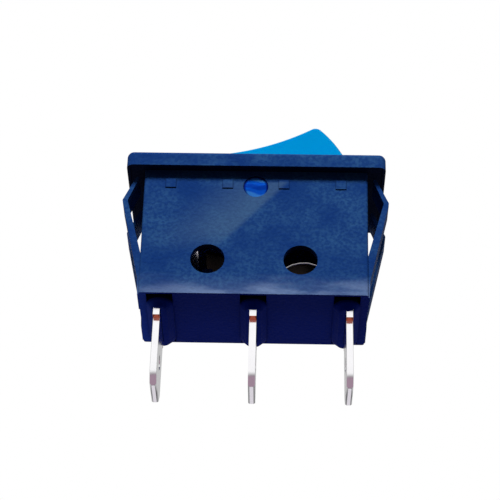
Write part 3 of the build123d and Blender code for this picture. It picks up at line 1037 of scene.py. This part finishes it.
@dataclass(frozen=True)
class Case(Assembly):
    """The moulded housing, and the bare lead behind its right port.

    Attributes:
        ease: Width of the housing's eased edges, in millimetres.
        foot: Height below which the collars' rims shade as rounds, in millimetres.
        gauge: Radius of the bare lead, in millimetres.
        bend: Radius of its bends, in millimetres.
        way: Its ends and corners, in millimetres.
    """

    ease: float = 0.06
    foot: float = -17.2
    gauge: float = 0.09
    bend: float = 0.8
    way: tuple[Point, ...] = (
        (2.8, -4.5, -14.75),
        (3.0, -4.5, -13.25),
        (4.42, -4.5, -12.36),
        (5.35, -4.5, -12.11),
        (6.28, -4.5, -12.08),
        (8.0, -4.5, -12.6),
        (8.4, -4.5, -14.75),
    )

    def pieces(self) -> list[tuple[Skin | Wire, Finish]]:
        """Gives the housing and the bare lead with their finishes.

        Returns:
            The two pieces.
        """
        case = Skin("housing", Body.HOUSING, "housing_plastic", self.ease, soft_below=self.foot)
        lead = Lead(
            "bare_lead", Body.HOUSING, "lead_wire", self.gauge, corners=self.way, bend=self.bend
        )
        return [(case, NYLON), (lead, TINNED_COPPER)]


@dataclass(frozen=True)
class Actuator(Assembly):
    """The rocker, and the sprung plunger that it pushes along the arm.

    Attributes:
        ease: Width of both mouldings' eased edges, in millimetres.
        smooth: Angle in degrees under which the rocker's faces shade as one.
        gauge: Radius of the spring's wire, in millimetres.
        foot: Point on the spring's axis level with the start of its wire, in millimetres.
        start: Where the wire starts, in millimetres.
        axis: Direction of the spring's axis.
        height: Height of the wire's own line, in millimetres.
    """

    ease: float = 0.05
    smooth: float = 52.0
    gauge: float = 0.15
    foot: Point = (0.3459, 0.0, -3.4575)
    start: Point = (1.2192, 0.0, -3.2398)
    axis: Point = (-0.2419, 0.0, 0.9703)
    height: float = 3.96

    def pieces(self) -> list[tuple[Skin | Wire, Finish]]:
        """Gives the rocker, the plunger and its spring with their finishes.

        Returns:
            The three pieces. The spring stretches between the plunger and the rocker.
        """
        rocker = Skin("rocker", Body.ROCKER, "rocker_plastic", self.ease, self.smooth)
        plunger = Skin("plunger", Body.PLUNGER, "plunger_plastic", self.ease)
        spring = Coil(
            "plunger_spring",
            Body.PLUNGER,
            "spring_steel",
            self.gauge,
            foot=self.foot,
            start=self.start,
            axis=self.axis,
            height=self.height,
            head=Body.ROCKER,
        )
        return [(rocker, POLYCARBONATE), (plunger, ACETAL), (spring, DRAWN_STEEL)]


@dataclass(frozen=True)
class Contacts(Assembly):
    """The see-saw arm, the two contact rivets and the three blade terminals.

    Attributes:
        arm_ease: Width of the arm's eased edges, in millimetres.
        rivet_ease: Width of the rivets' eased edges, in millimetres.
        blade_ease: Width of the terminals' eased edges, in millimetres.
    """

    arm_ease: float = 0.04
    rivet_ease: float = 0.03
    blade_ease: float = 0.045

    def pieces(self) -> list[tuple[Skin | Wire, Finish]]:
        """Gives the arm, the rivets and the terminals with their finishes.

        Returns:
            The six pieces.
        """
        arm = Skin("contact_arm", Body.ARM, "arm_brass", self.arm_ease)
        rivets = [
            Skin(node, body, "contact_silver", self.rivet_ease)
            for node, body in (("moving_contact", Body.ARM), ("fixed_contact", Body.HOUSING))
        ]
        blades = [
            Skin("terminal_" + side, Body.HOUSING, "terminal_plate", self.blade_ease)
            for side in ("left", "centre", "right")
        ]
        return [
            (arm, ROLLED_BRASS),
            *((rivet, HEADED_SILVER) for rivet in rivets),
            *((blade, PLATED_BRASS) for blade in blades),
        ]


@dataclass(frozen=True)
class IndicatorLamp(Assembly):
    """The lamp under the crown, its resistor and leads, and the soft spring of its return.

    Attributes:
        ease: Width of the bulb's and the resistor's eased edges, in millimetres.
        gauge: Radius of the leads, in millimetres.
        live: The live lead's ends, in millimetres.
        back: The return lead's ends and corners, in millimetres.
        bend: Radius of its bends, in millimetres.
        spring_gauge: Radius of the spring's wire, in millimetres.
        foot: Point on the spring's axis level with the start of its wire, in millimetres.
        start: Where the wire starts, in millimetres.
        height: Height of the wire's own line, in millimetres.
    """

    ease: float = 0.04
    gauge: float = 0.2
    live: tuple[Point, ...] = ((2.2093, -0.5, 1.4696), (-1.308, -0.5, 0.5927))
    back: tuple[Point, ...] = (
        (2.2093, 0.5, 1.4696),
        (1.5786, 0.5, 1.3124),
        (1.1905, 2.6, 1.2156),
        (-9.2402, 2.6, -1.3851),
    )
    bend: float = 0.5
    spring_gauge: float = 0.15
    foot: Point = (-8.4156, 2.6, -7.23)
    start: Point = (-7.7656, 2.6, -7.23)
    height: float = 5.4444

    def pieces(self) -> list[tuple[Skin | Wire, Finish]]:
        """Gives the bulb, the resistor, the leads and the spring with their finishes.

        Returns:
            The five pieces.
        """
        wire = (Body.ROCKER, "lead_wire", self.gauge)
        spring = Coil(
            "lamp_spring",
            Body.HOUSING,
            "spring_steel",
            self.spring_gauge,
            foot=self.foot,
            start=self.start,
            height=self.height,
        )
        return [
            (Skin("lamp_bulb", Body.ROCKER, "lamp_glass", self.ease), GLASS),
            (Skin("lamp_resistor", Body.ROCKER, "resistor_coat", self.ease), LACQUER),
            (Lead("lamp_lead_live", *wire, corners=self.live), TINNED_COPPER),
            (Lead("lamp_lead_return", *wire, corners=self.back, bend=self.bend), TINNED_COPPER),
            (spring, DRAWN_STEEL),
        ]


@dataclass(frozen=True)
class Card:
    """A round card that only reflections find.

    Attributes:
        toward: Direction of its middle.
        reach: Angle from its middle to its rim, in degrees.
        colour: Its colour.
    """

    toward: Point
    reach: float
    colour: str


@dataclass(frozen=True)
class SoftBox:
    """A square lamp that faces the switch.

    Attributes:
        name: The lamp's name.
        place: Its place in metres.
        size: Its side in metres.
        power: Its power in watts.
    """

    name: str
    place: Point
    size: float
    power: float

    def build(self) -> None:
        """Makes the lamp. Reflections don't find it, only the world's own soft box and cards."""
        data = bpy.data.lights.new(self.name, "AREA")
        data.size = self.size
        data.energy = self.power
        lamp = bpy.data.objects.new(self.name, data)
        lamp.location = self.place
        lamp.rotation_mode = "QUATERNION"
        lamp.rotation_quaternion = Vector(self.place).to_track_quat("Z", "Y")
        lamp.visible_camera = False
        lamp.visible_glossy = False
        bpy.context.scene.collection.objects.link(lamp)


@dataclass(frozen=True)
class Studio:
    """Soft light, white background and the camera.

    The world's ramps go by the three parts of a ray's direction: sideways, back and up.

    Attributes:
        azimuth: Camera's direction round the switch, in degrees.
        elevation: Camera's height over the horizon, in degrees.
        roll: Camera's turn about its own line of sight, in degrees.
        distance: From the camera to its target, in millimetres.
        target: Point that the camera looks at, in millimetres.
        lens: Focal length in millimetres.
        sensor: Width of the camera's sensor in millimetres.
        near: Nearest distance that the camera sees, in metres.
        lit: Strength of the world as a light, by the way back: dim before, stronger behind.
        over: Strength of the soft box in reflections, by the way up.
        rear: The same by the way back.
        flanks: The same by the way sideways.
        low_sides: Strength of the sides in reflections, by the way up.
        wide: The same by the way sideways.
        cards: The cards below, behind the switch and before it.
        lamps: The lamps.
    """

    azimuth: float = 1.401
    elevation: float = -33.186
    roll: float = 1.589
    distance: float = 196.11
    target: Point = (-0.626, 0.0, -7.414)
    lens: float = 117.31
    sensor: float = 36.0
    near: float = 0.01
    lit: Ramp = Ramp(-0.2, 0.6, 0.05, 0.55)
    over: Ramp = Ramp(-0.25, 0.3, 0.16, 1.0)
    rear: Ramp = Ramp(-0.1, 0.3, 1.0, 0.53)
    flanks: Ramp = Ramp(0.35, 0.75, 1.0, 0.05)
    low_sides: Ramp = Ramp(0.45, 0.2, 0.0, 0.5)
    wide: Ramp = Ramp(0.4, 0.6)
    cards: tuple[Card, ...] = (
        Card((0.0, 0.88, -0.48), 16.0, "#dcd8de"),
        Card((0.0, -0.80, -0.60), 40.0, "#a18998"),
    )
    lamps: tuple[SoftBox, ...] = (
        SoftBox("key", (-0.05, -0.43, 0.385), 0.14, 3.7),
        SoftBox("fill", (0.25, -0.34, 0.30), 0.30, 0.2),
        SoftBox("back", (-0.10, 0.40, 0.36), 0.30, 0.3),
    )

    def camera(self) -> None:
        """Makes the camera."""
        data = bpy.data.cameras.new("camera")
        data.lens = self.lens
        data.sensor_width = self.sensor
        data.clip_start = self.near
        camera = bpy.data.objects.new("camera", data)
        bpy.context.scene.collection.objects.link(camera)
        a, e, turn = (math.radians(v) for v in (self.azimuth, self.elevation, self.roll))
        back = Vector((math.sin(a) * math.cos(e), -math.cos(a) * math.cos(e), math.sin(e)))
        right = (-back).cross(Vector((0, 0, 1))).normalized()
        up = right.cross(-back)
        side = math.cos(turn) * right + math.sin(turn) * up
        top = math.cos(turn) * up - math.sin(turn) * right
        place = Matrix((side, top, back)).transposed().to_4x4()
        place.translation = (Vector(self.target) + back * self.distance) * MM
        camera.matrix_world = place
        bpy.context.scene.camera = camera

    def world(self) -> None:
        """Makes the world white to the camera, graded in reflections, and dim as a light."""
        world = bpy.data.worlds.new("studio")
        world.use_nodes = True
        bpy.context.scene.world = world
        tree = world.node_tree
        tree.nodes.clear()
        way = add_node(tree, PLACE).outputs["Generated"]
        split = add_node(tree, SPLIT, {"Vector": way})
        ray = add_node(tree, "ShaderNodeLightPath").outputs
        # White to the camera, straight or through a clear piece
        straight = {0: ray["Is Camera Ray"], 1: ray["Is Transmission Ray"]}
        seen = add_node(tree, MATH, straight, operation="MAXIMUM")
        colour = coats(
            tree,
            within(tree, (split.outputs["Y"], self.lit)),
            (ray["Is Glossy Ray"], self.mirrored(tree, way, split)),
            (seen, "#ffffff"),
        )
        light = add_node(tree, "ShaderNodeBackground", {"Color": colour, "Strength": 1.0})
        add_node(tree, "ShaderNodeOutputWorld", {"Surface": light})

    def mirrored(self, tree: Tree, way: Socket, split: Node) -> Any:
        """Grades what reflections find: a soft box over the front, dark sides and two low cards.

        Args:
            tree: The world's node tree.
            way: The ray's direction.
            split: The same direction, apart.

        Returns:
            What gives the colour.
        """
        beside = away(tree, split.outputs["X"])
        box = within(
            tree,
            (split.outputs["Z"], self.over),
            (split.outputs["Y"], self.rear),
            (beside, self.flanks),
        )
        sides = within(tree, (split.outputs["Z"], self.low_sides), (beside, self.wide))
        found = add_node(tree, MATH, {0: box, 1: sides}, operation="MAXIMUM")
        layers = []
        for card in self.cards:
            pair = {0: way, 1: Vector(card.toward).normalized()}
            near = add_node(tree, "ShaderNodeVectorMath", pair, operation="DOT_PRODUCT")
            # The card is full out to half its reach, and fades from there to its rim
            rim, full = (math.cos(math.radians(angle)) for angle in (card.reach, card.reach / 2))
            layers.append((within(tree, (near, Ramp(rim, full))), card.colour))
        return coats(tree, found, *layers)

    def build(self) -> None:
        """Sets the whole studio."""
        self.camera()
        self.world()
        for lamp in self.lamps:
            lamp.build()
        bpy.context.scene.view_settings.view_transform = "Standard"


def main() -> None:
    """Builds the studio and the switch."""
    logging.basicConfig(level=logging.INFO, format="%(name)s: %(message)s")
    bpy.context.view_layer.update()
    Studio().build()
    for assembly in (Case(), Actuator(), Contacts(), IndicatorLamp()):
        assembly.build()
    bpy.context.view_layer.update()


if __name__ == "__main__":
    main()
